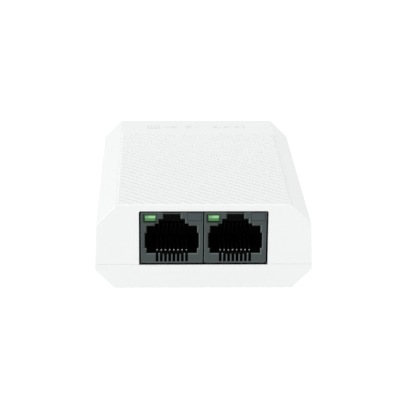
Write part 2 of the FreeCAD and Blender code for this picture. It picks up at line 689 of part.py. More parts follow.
def dc_jack_housing():
    """The moulded inlet: a collar at the face, a round-backed barrel, the bore and the leaf slot."""
    half = DC_WIDTH / 2
    collar = block(-half, half, DC_FACE - DC_COLLAR, DC_FACE, BOARD_TOP, BOARD_TOP + DC_HEIGHT)
    rim = [edge for edge in collar.Edges if abs(edge.CenterOfMass.y - DC_FACE) < NEAR]
    collar = collar.makeFillet(DC_EDGE_ROUND, rim)
    rear = DC_FACE - DC_DEPTH
    inside_collar = DC_FACE - DC_COLLAR / 2
    base = block(-half, half, rear, inside_collar, BOARD_TOP, DC_AXIS_Z)
    barrel = cylinder(half - DC_BARREL_INSET, V(0, rear, DC_AXIS_Z), V(0, inside_collar, DC_AXIS_Z))
    body = collar.fuse([base, barrel])
    bore = cylinder(DC_BORE_RADIUS, V(0, DC_FACE - DC_BORE_DEPTH, DC_AXIS_Z),
                    V(0, DC_FACE + OVERCUT, DC_AXIS_Z))
    mouth = Part.makeCone(DC_BORE_RADIUS, DC_BORE_RADIUS + DC_MOUTH, DC_MOUTH,
                          V(0, DC_FACE - DC_MOUTH, DC_AXIS_Z), Y_AXIS)
    pin_hole = cylinder(DC_PIN_SHANK + DC_PIN_HOLE_GAP, V(0, rear - OVERCUT, DC_AXIS_Z),
                        V(0, DC_FACE, DC_AXIS_Z))
    return body.cut([bore, mouth, pin_hole, leaf_slot()]).removeSplitter()


def dc_jack_pin():
    """The centre pin, riveted to a lug that drops through the board behind the inlet."""
    tip_y = DC_FACE - DC_PIN_TIP
    rear = DC_FACE - DC_DEPTH
    shoulder_y = DC_FACE - DC_BORE_DEPTH + DC_PIN_SHOULDER
    pin = cylinder(DC_PIN_RADIUS, V(0, shoulder_y, DC_AXIS_Z), V(0, tip_y, DC_AXIS_Z))
    rim = [edge for edge in pin.Edges if abs(edge.CenterOfMass.y - tip_y) < NEAR and edge.Closed]
    pin = pin.makeFillet(DC_PIN_ROUND, rim)
    shank = cylinder(DC_PIN_SHANK, V(0, rear, DC_AXIS_Z), V(0, shoulder_y + DC_PIN_SHOULDER / 2, DC_AXIS_Z))
    lug = block(-DC_LUG_HALF, DC_LUG_HALF, rear - DC_LUG_THICKNESS, rear,
                BOARD_TOP + DC_TERMINAL_GAP, DC_AXIS_Z + DC_LUG_ABOVE_AXIS)
    foot = block(-DC_FOOT_HALF, DC_FOOT_HALF, rear - DC_LUG_THICKNESS, rear,
                 BOARD_TOP - PIN_LENGTH_BELOW_TOP, BOARD_TOP + 2 * DC_TERMINAL_GAP)
    return pin.fuse([shank, lug, foot]).removeSplitter()


def dc_jack_terminal():
    """The fixed outer contact, standing in the board behind the leaf."""
    half = DC_LEAF_WIDTH / 2
    y1 = DC_HINGE_Y - DC_LEAF_ROOT - DC_TERMINAL_GAP
    return block(-half, half, y1 - DC_LEAF_THICKNESS, y1,
                 BOARD_TOP - PIN_LENGTH_BELOW_TOP, DC_HINGE_Z + 2 * DC_LEAF_THICKNESS)


def dc_jack_spring():
    """The moving leaf: it rises into the bore and presses on the plug's sleeve."""
    half = DC_LEAF_WIDTH / 2
    thick = DC_LEAF_THICKNESS
    y0 = DC_HINGE_Y - DC_LEAF_ROOT
    crest_y = DC_FACE - DC_LEAF_CREST
    end_y = DC_FACE - DC_LEAF_END
    crest_z = DC_AXIS_Z - DC_LEAF_CREST_DROP
    end_z = DC_AXIS_Z - DC_LEAF_END_DROP
    profile = [
        (-half, y0, DC_HINGE_Z),
        (-half, crest_y, crest_z - thick),
        (-half, end_y, end_z - thick),
        (-half, end_y, end_z),
        (-half, crest_y, crest_z),
        (-half, y0, DC_HINGE_Z + thick),
    ]
    return prism(profile, V(2 * half, 0, 0))


# ---- board and components ---------------------------------------------------------------------

def circuit_board():
    """The board, with a hole for every lead and post."""
    z0 = BOARD_TOP - BOARD_THICKNESS
    board = block(-BOARD_HALF_WIDTH, BOARD_HALF_WIDTH, BOARD_FRONT, BACK - END_WALL - BOARD_END_GAP,
                  z0, BOARD_TOP)
    corners = [edge for edge in board.Edges if abs(edge.tangentAt(edge.FirstParameter).z) > 0.9]
    board = board.makeFillet(BOARD_CORNER, corners)

    def hole(radius, x, y):
        return upright(radius, x, y, z0 - OVERCUT, BOARD_TOP + OVERCUT)

    def slot(half_x, y0, y1):
        return block(-half_x, half_x, y0 - LEAD_GAP, y1 + LEAD_GAP, z0 - OVERCUT, BOARD_TOP + OVERCUT)

    holes = [hole(SCREW_RADIUS + 2 * LEAD_GAP, x, y) for x, y in screw_places()]
    for centre_x in jack_centres().values():
        for index, x in enumerate(contact_places(centre_x)):
            holes.append(hole(CONTACT_RADIUS + LEAD_GAP, x, JACK_FACE + TAIL_ROWS[index % 2]))
        for side in (-1, 1):
            holes.append(hole(POST_RADIUS + POST_GAP, centre_x + side * POST_OFFSET, JACK_FACE + POST_DEPTH))
        for offset in LED_LEAD_OFFSETS:
            holes.append(hole(LED_LEAD_RADIUS + LEAD_GAP, centre_x + offset,
                              JACK_FACE + JACK_DEPTH + LED_LEAD_BEHIND))
    for x, y in CAPACITOR_PLACES:
        for side in (-1, 1):
            holes.append(hole(CAPACITOR_LEAD_RADIUS + LEAD_GAP, x + side * CAPACITOR_LEAD_OFFSET, y))
    rear = DC_FACE - DC_DEPTH
    terminal = DC_HINGE_Y - DC_LEAF_ROOT - DC_TERMINAL_GAP
    holes.append(slot(DC_FOOT_HALF + LEAD_GAP, rear - DC_LUG_THICKNESS, rear))
    holes.append(slot(DC_LEAF_WIDTH / 2 + LEAD_GAP, terminal - DC_LEAF_THICKNESS, terminal))
    return board.cut(holes)


def gull_wings(x, y, half_x, count, pitch, width, height):
    """Two rows of bent leads along the left and right sides of a package."""
    leads = []
    thick = WING_THICKNESS
    for side in (-1, 1):
        for index in range(count):
            centre_y = y + (index - (count - 1) / 2) * pitch
            root = x + side * half_x
            profile = [(0, height), (WING_KNEE, height), (WING_KNEE + thick, thick),
                       (WING_TOE, thick), (WING_TOE, 0), (WING_KNEE, 0),
                       (WING_KNEE - thick, height - thick), (0, height - thick)]
            points = [(root + side * px, centre_y - width / 2, BOARD_TOP + pz) for px, pz in profile]
            leads.append(prism(points, V(0, width, 0)))
    return leads


def package(x, y, half_x, half_y, low, high, chamfer):
    """A moulded component body with softened upper edges."""
    body = block(x - half_x, x + half_x, y - half_y, y + half_y, BOARD_TOP + low, BOARD_TOP + high)
    rim = [edge for edge in body.Edges if abs(edge.CenterOfMass.z - BOARD_TOP - high) < NEAR]
    return body.makeChamfer(chamfer, rim)


def capacitors():
    """Sleeves, cans and leads of the two input capacitors."""
    sleeves = []
    cans = []
    leads = []
    for x, y in CAPACITOR_PLACES:
        low = BOARD_TOP + CAPACITOR_STAND_OFF
        high = low + CAPACITOR_HEIGHT
        inside = CAPACITOR_RADIUS - SLEEVE_THICKNESS
        can = upright(inside - NEAR, x, y, low, high)
        rims = [edge for edge in can.Edges if edge.Closed]
        cans.append(can.makeFillet(CAPACITOR_ROUND, rims))
        sleeve = upright(CAPACITOR_RADIUS, x, y, low + SLEEVE_INSET, high - SLEEVE_INSET)
        sleeves.append(sleeve.cut(upright(inside, x, y, low, high)))
        for side in (-1, 1):
            leads.append(upright(CAPACITOR_LEAD_RADIUS, x + side * CAPACITOR_LEAD_OFFSET, y,
                                 BOARD_TOP - CAPACITOR_LEAD_LENGTH, low))
    return sleeves, cans, leads


def power_inductor():
    """A shielded inductor: a ferrite block with a round top window, and two end terminals."""
    x, y = INDUCTOR_PLACE
    body = package(x, y, *INDUCTOR_BODY)
    half_x, _, low, high, _ = INDUCTOR_BODY
    window = upright(INDUCTOR_WINDOW_RADIUS, x, y, BOARD_TOP + high - INDUCTOR_WINDOW_DEPTH,
                     BOARD_TOP + high + OVERCUT)
    terminals = []
    for side in (-1, 1):
        middle = x + side * (half_x - TERMINAL_HALF_X)
        terminals.append(block(middle - TERMINAL_HALF_X, middle + TERMINAL_HALF_X,
                               y - TERMINAL_HALF_Y, y + TERMINAL_HALF_Y, BOARD_TOP, BOARD_TOP + low))
    return body.cut(window), terminals


def smd_passives():
    """Small chip resistors and capacitors, in rows beside the larger parts."""
    chips = []
    for first_x, first_y, columns, rows in CHIP_GROUPS:
        places = [(first_x + column * CHIP_PITCH_X, first_y + row * CHIP_PITCH_Y)
                  for column in range(columns) for row in range(rows)]
        for x, y in places:
            if all(math.hypot(x - sx, y - sy) > CHIP_SCREW_DISTANCE for sx, sy in screw_places()):
                chips.append(block(x - CHIP_HALF_X, x + CHIP_HALF_X, y - CHIP_HALF_Y, y + CHIP_HALF_Y,
                                   BOARD_TOP, BOARD_TOP + CHIP_HEIGHT))
    return chips


def board_parts():
    """Everything soldered to the board between the jacks and the inlet."""
    x, y = TRANSFORMER_PLACE
    save("lan_transformer", package(x, y, *TRANSFORMER_BODY))
    save("lan_transformer_pins", gull_wings(x, y, TRANSFORMER_BODY[0], *TRANSFORMER_WINGS))
    x, y = CONTROLLER_PLACE
    save("pse_controller", package(x, y, *CONTROLLER_BODY))
    save("pse_controller_pins", gull_wings(x, y, CONTROLLER_BODY[0], *CONTROLLER_WINGS))
    inductor, inductor_terminals = power_inductor()
    save("power_inductor", inductor)
    save("inductor_terminals", inductor_terminals)
    save("input_fuse", package(*FUSE_PLACE, *FUSE_BODY))
    save("surge_diodes", [package(*place, *SURGE_DIODE_BODY) for place in SURGE_DIODE_PLACES])
    save("smd_passives", smd_passives())
    sleeves, cans, leads = capacitors()
    save("capacitor_sleeves", sleeves)
    save("capacitor_cans", cans)
    save("capacitor_leads", leads)


def main():
    os.makedirs("parts", exist_ok=True)
    save("upper_shell", upper_shell())
    save("lower_shell", lower_shell())
    save("printed_marks", mark_prisms(CASE_TOP, CASE_TOP + MARK_THICKNESS))
    save("case_screws", case_screws())
    save("rubber_feet", rubber_feet())
    save("rating_label", rating_label())
    save("circuit_board", circuit_board())
    for side, centre_x in jack_centres().items():
        save(side + "_jack_housing", jack_housing(centre_x))
        save(side + "_jack_insert", jack_insert(centre_x))
        save(side + "_contact_tails", contact_tails(centre_x))
        save(side + "_contact_arms", contact_arms(centre_x))
        save(side + "_led_lens", led_lens(centre_x))
        save(side + "_blank_plug", blank_plug(centre_x))
        save(side + "_led_leads", led_leads(centre_x))
    save("dc_jack_housing", dc_jack_housing())
    save("dc_jack_pin", dc_jack_pin())
    save("dc_jack_terminal", dc_jack_terminal())
    save("dc_jack_spring", dc_jack_spring())
    board_parts()


main()
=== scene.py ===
"""Looks of a small two-port PoE injector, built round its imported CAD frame. Metres, Z up, ports at -Y."""
import json
import math

import bpy
import bmesh
from mathutils import Matrix, Vector


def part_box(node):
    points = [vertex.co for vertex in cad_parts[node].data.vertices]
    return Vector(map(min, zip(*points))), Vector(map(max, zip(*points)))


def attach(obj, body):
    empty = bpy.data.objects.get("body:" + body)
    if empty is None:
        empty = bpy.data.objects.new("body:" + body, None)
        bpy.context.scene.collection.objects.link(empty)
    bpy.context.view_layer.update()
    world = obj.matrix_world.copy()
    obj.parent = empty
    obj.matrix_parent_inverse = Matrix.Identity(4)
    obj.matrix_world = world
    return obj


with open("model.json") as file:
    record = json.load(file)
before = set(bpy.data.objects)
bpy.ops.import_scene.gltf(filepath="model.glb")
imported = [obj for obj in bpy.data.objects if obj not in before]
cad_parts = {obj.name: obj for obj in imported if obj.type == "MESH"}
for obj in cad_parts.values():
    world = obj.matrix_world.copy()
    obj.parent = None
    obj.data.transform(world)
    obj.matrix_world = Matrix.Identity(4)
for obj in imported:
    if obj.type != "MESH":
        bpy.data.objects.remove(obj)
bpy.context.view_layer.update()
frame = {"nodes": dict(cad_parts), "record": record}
nodes = frame["nodes"]
CASE = "injector_case"
MM = 0.001

# Camera, in the object's frame
CAMERA_PLACE = Vector((-11.57, -382.15, 139.94)) * MM
CAMERA_PITCH = math.radians(18.698)
CAMERA_YAW = math.radians(1.757)
CAMERA_ROLL = math.radians(-0.483)
CAMERA_LENS = 137.65
SENSOR = 36.0
CLIP_START = 0.01
CLIP_END = 10.0

# Studio: each soft box with its place, size and power
LIGHT_TARGET = (0.0, 0.0, 0.01)
SOFT_BOXES = (
    ("left_box", (-0.45, -0.10, 0.35), 0.35, 0.35),
    ("front_box", (0.05, -0.75, 0.30), 0.45, 0.10),
    ("top_box", (-0.20, 0.10, 0.75), 0.50, 0.42),
    ("right_box", (0.45, 0.15, 0.35), 0.35, 0.06),
)
SKY_STRENGTH = 0.90
TABLE_HALF = 1.6
TABLE_GLOW = 0.72

# Case: the grooved pad on its roof, and the sill and ledge of the port opening
SKIN = 0.02 * MM
case_low, case_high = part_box("upper_shell")
CASE_COLOUR = (0.855, 0.865, 0.862)
RIM_START = 37.0 * MM
RIM_SOFT = 0.05 * MM
PAD_HALF_WIDTH = 20.8 * MM
PAD_BACK = 22.8 * MM
PAD_SIDE = 0.3 * MM
PAD_SHADOW = 0.6 * MM
GROOVE_HIGH = case_high.z - 0.03 * MM
GROOVE_LOW = case_high.z - 0.3 * MM
GROOVE_FRONT = -15 * MM
GROOVE_REAR = 20 * MM
SILL_TOP = 6.72 * MM
SILL_DEPTH = 0.22 * MM
LEDGE_HEIGHT = 0.8 * MM
LEDGE_DEPTH = 1.9 * MM

# RJ45 jacks: their fronts, the teeth and slots under the cavities, and the board that they stand on
board_low, board_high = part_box("circuit_board")
BOARD_DARK = 1 * MM
BOARD_LIGHT = 9 * MM
jack_low, jack_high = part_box("left_jack_housing")
JACK_COLOUR = (0.0605, 0.0745, 0.0730)
PLUG_COLOUR = (0.0445, 0.0595, 0.0660)
CAVITY_SHADE_COLOUR = (0.0016, 0.0017, 0.0018)
JACK_WIDTH = jack_high.x - jack_low.x
JACK_FOOT = board_high.z
JACK_LIGHT = 36.9 * MM
JACK_DARK = 36.6 * MM
RIGHT_EDGE_START = 0.25 * MM
RIGHT_EDGE_FULL = 0.15 * MM
FOOT_EDGE = 0.1 * MM
FOOT_LINE = 0.25 * MM
LATCH_HALF_WIDTH = 2.2 * MM
SLOT_FLOOR = board_high.z + 0.22 * MM
CAVITY_FLOOR = board_high.z + 2.3 * MM
RIDGE_CORE = 0.05 * MM
RIDGE_REACH = 0.17 * MM

# The contacts' bend, about its own centre, and where on it the painted highlight lies
arm_low, arm_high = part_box("left_contact_arms")
WIRE_RADIUS = 0.23 * MM
WIRE_COUNT = 8
WIRE_START = arm_low.x + WIRE_RADIUS
WIRE_PITCH = (arm_high.x - WIRE_RADIUS - WIRE_START) / (WIRE_COUNT - 1)
PIN_ROW = 2.54 * MM
BEND_OUTSIDE = 1.07 * MM
BEND_REACH = 1.2 * MM
BEND_Y = arm_low.y + BEND_OUTSIDE
BEND_Z = arm_low.z
CREST_ANGLE = math.radians(56)
CREST_SPAN = math.radians(10)

# Indicators: the painted glow bands in the lens, the painted green glow round it and the flange in the gap
led_low, led_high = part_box("left_led_lens")
LED_MIDDLE = (led_low.z + led_high.z) / 2
JACK_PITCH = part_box("right_led_lens")[0].x - led_low.x
LED_DIM = (0.067, 0.218, 0.076)
LED_BRIGHT = (0.310, 0.680, 0.290)
LED_SIDE_SHADE = (0.012, 0.050, 0.018)
UPPER_BAND = (-0.1 * MM, 0.2 * MM)
LOWER_BAND = (-0.65 * MM, -0.35 * MM)
LAMP_SPAN = (0.7 * MM, 1.4 * MM)
GLOW_REACH = 0.5 * MM
GLOW_SOFT = 0.2 * MM
GLOW_EDGE = 0.05 * MM
# painted green glow on the jack round each indicator, and the painted shade on its left and lower sides
GLOW_COLOUR = (0.036, 0.074, 0.046)
GLOW_SHADE = (0.022, 0.044, 0.026)
FLANGE_REACH = 0.18 * MM
FLANGE_GAP = 0.01 * MM
FLANGE_DEPTH = 0.8 * MM
FLANGE_SET_BACK = 0.12 * MM

# The film between the jacks and the transformer, put in to cast shade on the gap between the jacks
SHEET_GAP = 0.25 * MM
SHEET_THICKNESS = 0.15 * MM
SHEET_FOLD = 1.2 * MM
SHEET_BELOW_ROOF = 2.0 * MM
SHEET_OVER_BOARD = 0.05 * MM

BEVEL_SAMPLES = 6


# ---- materials ----------------------------------------------------------------------------------

class Shader:
    """A node material with short calls for the nodes that these finishes use."""

    def __init__(self, name, **fixed):
        self.material = bpy.data.materials.new(name)
        self.material.use_nodes = True
        self.tree = self.material.node_tree
        self.tree.nodes.clear()
        self.surface = self.node("ShaderNodeBsdfPrincipled")
        output = self.node("ShaderNodeOutputMaterial")
        self.link(self.surface.outputs["BSDF"], output.inputs["Surface"])
        for socket, value in fixed.items():
            self.surface.inputs[socket.replace("_", " ")].default_value = value
        self.coordinates = self.node("ShaderNodeTexCoord")
        self.place = self.coordinates.outputs["Object"]

    def node(self, kind):
        return self.tree.nodes.new(kind)

    def link(self, source, target):
        self.tree.links.new(source, target)

    def scaled(self, x, y, z):
        """Object coordinates stretched along each axis."""
        mapping = self.node("ShaderNodeMapping")
        mapping.inputs["Scale"].default_value = (x, y, z)
        self.link(self.place, mapping.inputs["Vector"])
        return mapping.outputs["Vector"]

    def noise(self, feature, detail=3.0, roughness=0.5, place=None):
        """Noise whose features are about that many metres across."""
        noise = self.node("ShaderNodeTexNoise")
        noise.inputs["Scale"].default_value = 1.0 / feature
        noise.inputs["Detail"].default_value = detail
        noise.inputs["Roughness"].default_value = roughness
        self.link(place or self.place, noise.inputs["Vector"])
        return noise.outputs["Fac"]

    def cells(self, feature, place=None):
        """Distance to the nearest of many scattered points."""
        cells = self.node("ShaderNodeTexVoronoi")
        cells.inputs["Scale"].default_value = 1.0 / feature
        self.link(place or self.place, cells.inputs["Vector"])
        return cells.outputs["Distance"]

    def spread(self, source, low, high, start=0.0, end=1.0, smooth=False):
        """Maps start..end onto low..high."""
        spread = self.node("ShaderNodeMapRange")
        spread.interpolation_type = "SMOOTHSTEP" if smooth else "LINEAR"
        spread.inputs["From Min"].default_value = start
        spread.inputs["From Max"].default_value = end
        spread.inputs["To Min"].default_value = low
        spread.inputs["To Max"].default_value = high
        self.link(source, spread.inputs["Value"])
        return spread.outputs["Result"]

    def math(self, operation, first, second=None):
        node = self.node("ShaderNodeMath")
        node.operation = operation
        for value, socket in ((first, node.inputs[0]), (second, node.inputs[1])):
            if isinstance(value, (int, float)):
                socket.default_value = value
            elif value is not None:
                self.link(value, socket)
        return node.outputs["Value"]

    def blend(self, share, first, second):
        """Mixes two colours, each a triple or a socket."""
        mix = self.node("ShaderNodeMix")
        mix.data_type = "RGBA"
        self.link(share, mix.inputs["Factor"])
        for value, socket in ((first, mix.inputs[6]), (second, mix.inputs[7])):
            if isinstance(value, tuple):
                socket.default_value = (*value, 1.0)
            else:
                self.link(value, socket)
        return mix.outputs[2]

    def scaled_colour(self, colour, factor):
        """A colour times a factor, both sockets."""
        scale = self.node("ShaderNodeVectorMath")
        scale.operation = "SCALE"
        self.link(colour, scale.inputs[0])
        self.link(factor, scale.inputs["Scale"])
        return scale.outputs["Vector"]

    def axis(self, name):
        """One object coordinate, in metres."""
        split = self.node("ShaderNodeSeparateXYZ")
        self.link(self.place, split.inputs["Vector"])
        return split.outputs[name]

    def facing(self, name):
        """How far the surface faces along one axis, from -1 to 1."""
        split = self.node("ShaderNodeSeparateXYZ")
        self.link(self.coordinates.outputs["Normal"], split.inputs["Vector"])
        return split.outputs[name]

    def edge(self, radius):
        """About 1 along the edges of the shape and 0 on its flats."""
        bevel = self.node("ShaderNodeBevel")
        bevel.samples = BEVEL_SAMPLES
        bevel.inputs["Radius"].default_value = radius
        normal = self.node("ShaderNodeNewGeometry").outputs["Normal"]
        match = self.node("ShaderNodeVectorMath")
        match.operation = "DOT_PRODUCT"
        self.link(bevel.outputs["Normal"], match.inputs[0])
        self.link(normal, match.inputs[1])
        return self.spread(match.outputs["Value"], 1.0, 0.0, 0.85, 0.995)

    def rounded_rim(self, start):
        """1 on the rounded edges round both end walls, beyond that distance from the middle, 0 elsewhere."""
        facing = self.math("ABSOLUTE", self.facing("Y"))
        turned = self.math("MULTIPLY", self.spread(facing, 0.0, 1.0, 0.12, 0.35),
                           self.spread(facing, 1.0, 0.0, 0.9, 0.985))
        near_end = self.spread(self.math("ABSOLUTE", self.axis("Y")), 0.0, 1.0, start, start + RIM_SOFT)
        return self.math("MULTIPLY", turned, near_end)

    def relief(self, height, depth, strength=1.0, bevel=None):
        """Bump from a height map of that depth in metres, over softened edges if asked."""
        bump = self.node("ShaderNodeBump")
        bump.inputs["Strength"].default_value = strength
        bump.inputs["Distance"].default_value = depth
        self.link(height, bump.inputs["Height"])
        if bevel:
            soft = self.node("ShaderNodeBevel")
            soft.samples = BEVEL_SAMPLES
            soft.inputs["Radius"].default_value = bevel
            self.link(soft.outputs["Normal"], bump.inputs["Normal"])
        self.link(bump.outputs["Normal"], self.surface.inputs["Normal"])

    def colour(self, source):
        self.link(source, self.surface.inputs["Base Color"])

    def gloss(self, source):
        self.link(source, self.surface.inputs["Roughness"])


def shade(colour, factor):
    """The same colour, lighter or darker."""
    return tuple(channel * factor for channel in colour)


def groove_mask(shader):
    """1 on the floors of the pad's grooves, 0 elsewhere."""
    depth = shader.spread(shader.axis("Z"), 1.0, 0.0, GROOVE_LOW, GROOVE_HIGH)
    over_floor = shader.math("GREATER_THAN", shader.axis("Z"), GROOVE_LOW - SKIN)
    on_pad = shader.math("LESS_THAN", shader.math("ABSOLUTE", shader.axis("X")), PAD_HALF_WIDTH)
    before_strip = shader.math("LESS_THAN", shader.axis("Y"), PAD_BACK)
    groove = shader.math("MULTIPLY", depth, over_floor)
    return shader.math("MULTIPLY", groove, shader.math("MULTIPLY", on_pad, before_strip))


def pad_side_masks(shader):
    """1 on the pad's left side, where a painted highlight goes, and 1 on its right side with a painted shadow
    past the edge.
    """
    across = shader.axis("X")
    past_edge = shader.math("GREATER_THAN", shader.math("ABSOLUTE", across), PAD_HALF_WIDTH - PAD_SIDE)
    beside_pad = shader.math("MULTIPLY", past_edge, shader.math("LESS_THAN", shader.axis("Y"), PAD_BACK))
    on_left = shader.math("MULTIPLY", beside_pad, shader.math("GREATER_THAN", shader.axis("Z"), GROOVE_LOW))
    near_right = shader.spread(shader.axis("Z"), 0.0, 1.0, GROOVE_LOW - PAD_SHADOW, GROOVE_LOW)
    left = shader.math("MULTIPLY", on_left, shader.spread(shader.facing("X"), 1.0, 0.0, -0.6, -0.3))
    right = shader.math("MULTIPLY", shader.math("MULTIPLY", beside_pad, near_right),
                        shader.spread(shader.facing("X"), 0.0, 1.0, 0.3, 0.6))
    return left, right


def ledge_shade_mask(shader):
    """1 on the ledge behind the port opening's sill, under the jacks, where painted shade goes, 0 elsewhere.
    """
    below = shader.math("LESS_THAN", shader.axis("Z"), SILL_TOP - SKIN)
    above = shader.math("GREATER_THAN", shader.axis("Z"), SILL_TOP - LEDGE_HEIGHT)
    behind = shader.math("GREATER_THAN", shader.axis("Y"), case_low.y + SILL_DEPTH)
    before = shader.math("LESS_THAN", shader.axis("Y"), case_low.y + LEDGE_DEPTH)
    in_opening = shader.math("LESS_THAN", shader.math("ABSOLUTE", shader.axis("X")), -jack_low.x)
    at_height = shader.math("MULTIPLY", below, above)
    at_depth = shader.math("MULTIPLY", behind, before)
    return shader.math("MULTIPLY", in_opening, shader.math("MULTIPLY", at_height, at_depth))


def case_white():
    """Matte ABS with a spark-eroded grain, faint cloudiness, polished edges and painted light and shade on
    edges, grooves, pad and ledge.
    """
    shader = Shader("case_white", Specular_IOR_Level=0.35)
    cloud = shader.noise(14 * MM, 2.0)
    body = shader.blend(cloud, CASE_COLOUR, shade(CASE_COLOUR, 0.985))
    # painted light and shade in the groove floors: darker towards the ports, and lighter towards the back to
    # even out their own shading
    rearward = shader.spread(shader.axis("Y"), 0.0, 1.0, GROOVE_FRONT, GROOVE_REAR, smooth=True)
    groove = shader.blend(rearward, shade(CASE_COLOUR, 0.967), shade(CASE_COLOUR, 1.055))
    body = shader.blend(groove_mask(shader), body, groove)
    # painted highlight on the pad's left side, painted shadow on its right side and past it
    pad_side_highlight, pad_side_shadow = pad_side_masks(shader)
    body = shader.blend(pad_side_highlight, body, shade(CASE_COLOUR, 1.09))
    body = shader.blend(pad_side_shadow, body, shade(CASE_COLOUR, 0.93))
    # painted shade on the ledge under the jacks
    body = shader.blend(ledge_shade_mask(shader), body, shade(CASE_COLOUR, 0.12))
    # painted highlight on the edges, which are also polished through a lower roughness
    edge = shader.edge(0.25 * MM)
    body = shader.blend(shader.math("MULTIPLY", edge, 0.5), body, shade(CASE_COLOUR, 1.04))
    # painted highlight on the rounded rims of both end walls
    shader.colour(shader.blend(shader.rounded_rim(RIM_START), body, shade(CASE_COLOUR, 1.07)))
    grain = shader.noise(0.16 * MM, 3.0, 0.65)
    rough = shader.spread(grain, 0.50, 0.66)
    shader.gloss(shader.math("SUBTRACT", rough, shader.math("MULTIPLY", edge, 0.12)))
    shader.relief(grain, 0.012 * MM, 0.5, bevel=0.12 * MM)
    return shader.material


def tooth_light(shader):
    """A painted light on the ridge of each tooth between the contact slots, as a factor, 1 elsewhere."""
    across = shader.math("MODULO", shader.math("SUBTRACT", shader.axis("X"), WIRE_START), JACK_PITCH)
    in_row = shader.math("MULTIPLY", shader.math("GREATER_THAN", across, 0.0),
                         shader.math("LESS_THAN", across, (WIRE_COUNT - 1) * WIRE_PITCH))
    low = shader.math("LESS_THAN", shader.axis("Z"), CAVITY_FLOOR)
    high = shader.math("GREATER_THAN", shader.axis("Z"), SLOT_FLOOR)
    on_tooth = shader.math("MULTIPLY", in_row, shader.math("MULTIPLY", low, high))
    from_slot = shader.math("MODULO", across, WIRE_PITCH)
    off_ridge = shader.math("ABSOLUTE", shader.math("SUBTRACT", from_slot, WIRE_PITCH / 2))
    ridge = shader.spread(off_ridge, 0.55, -0.3, RIDGE_CORE, RIDGE_REACH)
    return shader.math("ADD", shader.math("MULTIPLY", ridge, on_tooth), 1.0)


def led_surround(shader):
    """1 on the band of painted glow round each indicator, and 1 on its left and lower sides, where the
    painted shade goes.
    """
    across = shader.math("SUBTRACT", shader.axis("X"), led_low.x - GLOW_REACH)
    across = shader.math("MODULO", across, JACK_PITCH)
    width = led_high.x - led_low.x + 2 * GLOW_REACH
    beside = shader.math("MULTIPLY", shader.spread(across, 0.0, 1.0, 0.0, GLOW_SOFT),
                         shader.spread(across, 1.0, 0.0, width - GLOW_SOFT, width))
    level = shader.math("SUBTRACT", shader.axis("Z"), led_low.z - GLOW_REACH)
    height = led_high.z - led_low.z + 2 * GLOW_REACH
    within = shader.math("MULTIPLY", shader.spread(level, 0.0, 1.0, 0.0, GLOW_SOFT),
                         shader.spread(level, 1.0, 0.0, height - GLOW_SOFT, height))
    band = shader.math("MULTIPLY", beside, within)
    left = shader.spread(across, 1.0, 0.0, GLOW_REACH - GLOW_EDGE, GLOW_REACH + GLOW_EDGE)
    under = shader.spread(level, 1.0, 0.0, GLOW_REACH - GLOW_EDGE, GLOW_REACH + GLOW_EDGE)
    return band, shader.math("MAXIMUM", left, under)


def jack_rim(shader, face, lit_edges):
    """Paints a highlight on the bevels that face up or left and on the edges given, and painted shade on the
    other bevels.
    """
    turned = shader.math("SUBTRACT", shader.facing("Z"), shader.facing("X"))
    lit = shader.math("MAXIMUM", shader.spread(turned, 0.0, 1.0, -0.1, 0.6), lit_edges)
    rim = shader.blend(lit, shade(JACK_COLOUR, 0.8), shade(JACK_COLOUR, 2.5))
    return shader.blend(shader.rounded_rim(JACK_DARK), face, rim)


def jack_front(shader, face):
    """The colour of the RJ45 jacks' fronts, over the plain face colour: painted highlights and shade on the
    edges, the foot, the latch and the teeth, and a painted green glow round the indicators.
    """
    from_left = shader.math("MODULO", shader.math("SUBTRACT", shader.axis("X"), jack_low.x), JACK_PITCH)
    # painted highlight on the right and lower outer edges of each jack's front
    right_edge = shader.spread(from_left, 0.0, 0.6, JACK_WIDTH - RIGHT_EDGE_START,
                               JACK_WIDTH - RIGHT_EDGE_FULL)
    lower_edge = shader.spread(shader.axis("Z"), 0.6, 0.0, JACK_FOOT, JACK_FOOT + FOOT_EDGE)
    face = jack_rim(shader, face, shader.math("MAXIMUM", right_edge, lower_edge))
    # painted highlight in a line along the foot of each jack's front
    foot_line = shader.spread(shader.axis("Z"), 1.0, 0.0, JACK_FOOT + FOOT_EDGE, JACK_FOOT + FOOT_LINE)
    face = shader.blend(foot_line, face, shade(JACK_COLOUR, 1.6))
    face = shader.scaled_colour(face, tooth_light(shader))
    # painted shade on the up-facing surfaces over the latch slot
    off_middle = shader.math("ABSOLUTE", shader.math("SUBTRACT", from_left, JACK_WIDTH / 2))
    over_latch = shader.math("MULTIPLY", shader.math("LESS_THAN", off_middle, LATCH_HALF_WIDTH),
                             shader.math("GREATER_THAN", shader.facing("Z"), 0.6))
    face = shader.blend(over_latch, face, shade(JACK_COLOUR, 0.35))
    # painted green glow round each indicator, with painted shade on its left and lower sides
    band, dark_side = led_surround(shader)
    return shader.blend(band, face, shader.blend(dark_side, GLOW_COLOUR, GLOW_SHADE))


